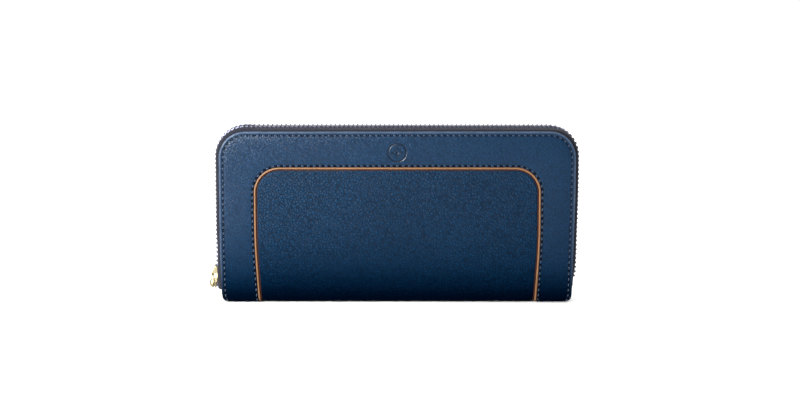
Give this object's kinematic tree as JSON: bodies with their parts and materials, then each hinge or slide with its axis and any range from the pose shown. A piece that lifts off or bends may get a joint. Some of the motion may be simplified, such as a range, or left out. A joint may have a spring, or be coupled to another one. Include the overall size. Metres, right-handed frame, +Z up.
{
  "type": "zip around wallet",
  "caption": "Long zip-around wallet standing on its spine: two leather covers with piping, a metal zip round three sides, card pockets, a zipped coin pocket and pleated gussets.",
  "frame": {"origin": "middle of the flat base of the spine, which the wallet stands on", "axes": "+X along the wallet away from the parked zip slider, -Y out of the front cover, +Z up"},
  "size_m": [0.2002, 0.024, 0.0957],
  "materials": {
    "frame_leather": "smooth navy leather, satin",
    "grain_leather": "fine grained navy leather, satin",
    "piping_leather": "tan leather, satin",
    "inner_leather": "soft navy leather, matt",
    "lining": "woven dark blue lining",
    "board": "stiff fibre board, matt",
    "zip_tape": "woven dark zip tape",
    "zip_metal": "dark nickel plated brass, semi gloss",
    "zip_coil": "dark nylon coil",
    "gold_metal": "polished light gold plating"
  },
  "bodies": {
    "spine": {"spine_centre_panel": "grain_leather", "spine_piping_left": "piping_leather", "spine_piping_right": "piping_leather", "spine_frame_left": "frame_leather", "spine_frame_right": "frame_leather", "spine_lining": "lining", "coin_pocket_front": "inner_leather", "coin_zip_tape_front": "zip_tape", "coin_zip_coil_front": "zip_coil", "coin_pocket_back": "inner_leather", "coin_zip_tape_back": "zip_tape", "coin_zip_coil_back": "zip_coil", "coin_pocket_side_left": "inner_leather", "coin_pocket_side_right": "inner_leather", "coin_pocket_base": "inner_leather", "gusset_left_front": "inner_leather", "gusset_left_back": "inner_leather", "gusset_right_front": "inner_leather", "gusset_right_back": "inner_leather"},
    "front_cover": {"front_frame_panel": "frame_leather", "front_piping": "piping_leather", "front_centre_panel": "grain_leather", "front_board": "board", "front_lining": "lining", "front_slip_panel": "inner_leather", "front_card_left_1": "inner_leather", "front_card_left_2": "inner_leather", "front_card_left_3": "inner_leather", "front_card_left_4": "inner_leather", "front_card_right_1": "inner_leather", "front_card_right_2": "inner_leather", "front_card_right_3": "inner_leather", "front_card_right_4": "inner_leather", "zip_tape_front": "zip_tape", "zip_teeth_front": "zip_metal", "zip_teeth_front_leg": "zip_metal", "zip_top_stop_front": "gold_metal", "zip_bottom_stop_front": "gold_metal"},
    "back_cover": {"back_frame_panel": "frame_leather", "back_piping": "piping_leather", "back_centre_panel": "grain_leather", "back_board": "board", "back_lining": "lining", "back_slip_panel": "inner_leather", "back_card_left_1": "inner_leather", "back_card_left_2": "inner_leather", "back_card_right_1": "inner_leather", "back_card_right_2": "inner_leather", "back_wide_pocket": "inner_leather", "zip_tape_back": "zip_tape", "zip_teeth_back": "zip_metal", "zip_teeth_back_leg": "zip_metal", "zip_top_stop_back": "gold_metal", "zip_bottom_stop_back": "gold_metal"},
    "zip_slider": {"main_slider": "gold_metal", "main_slider_pin": "gold_metal"},
    "zip_pull": {"main_pull": "gold_metal"},
    "coin_slider": {"coin_slider_body": "gold_metal"},
    "coin_pull": {"coin_pull_tab": "gold_metal"}
  },
  "joints": [
    {"name": "front_cover_fold", "type": "hinge", "parent": "spine", "child": "front_cover", "pos_m": [0, -0.00885, 0.00396], "axis": [1, 0, 0], "range_deg": [0, 42], "deforming": ["gusset_left_front", "gusset_right_front"]},
    {"name": "back_cover_fold", "type": "hinge", "parent": "spine", "child": "back_cover", "pos_m": [0, 0.00885, 0.00396], "axis": [-1, 0, 0], "range_deg": [0, 42], "deforming": ["gusset_left_back", "gusset_right_back"]},
    {"name": "zip_slider_run", "type": "slide", "parent": "front_cover", "child": "zip_slider", "axis": [0, 0, 1], "range_m": [0, 0.058], "deforming": ["zip_teeth_front_leg", "zip_teeth_back_leg"]},
    {"name": "zip_pull_swing", "type": "hinge", "parent": "zip_slider", "child": "zip_pull", "pos_m": [-0.10025, 0, 0.0143], "axis": [0, 1, 0], "range_deg": [0, 140]},
    {"name": "coin_slider_run", "type": "slide", "parent": "spine", "child": "coin_slider", "axis": [-1, 0, 0], "range_m": [0, 0.14], "deforming": ["coin_zip_coil_front", "coin_zip_coil_back"]},
    {"name": "coin_pull_swing", "type": "hinge", "parent": "coin_slider", "child": "coin_pull", "pos_m": [0.07092, 0, 0.08145], "axis": [0, 1, 0], "range_deg": [0, 150]}
  ],
  "couplings": [
    {"joint": "back_cover_fold", "follows": "front_cover_fold", "ratio": 1}
  ]
}
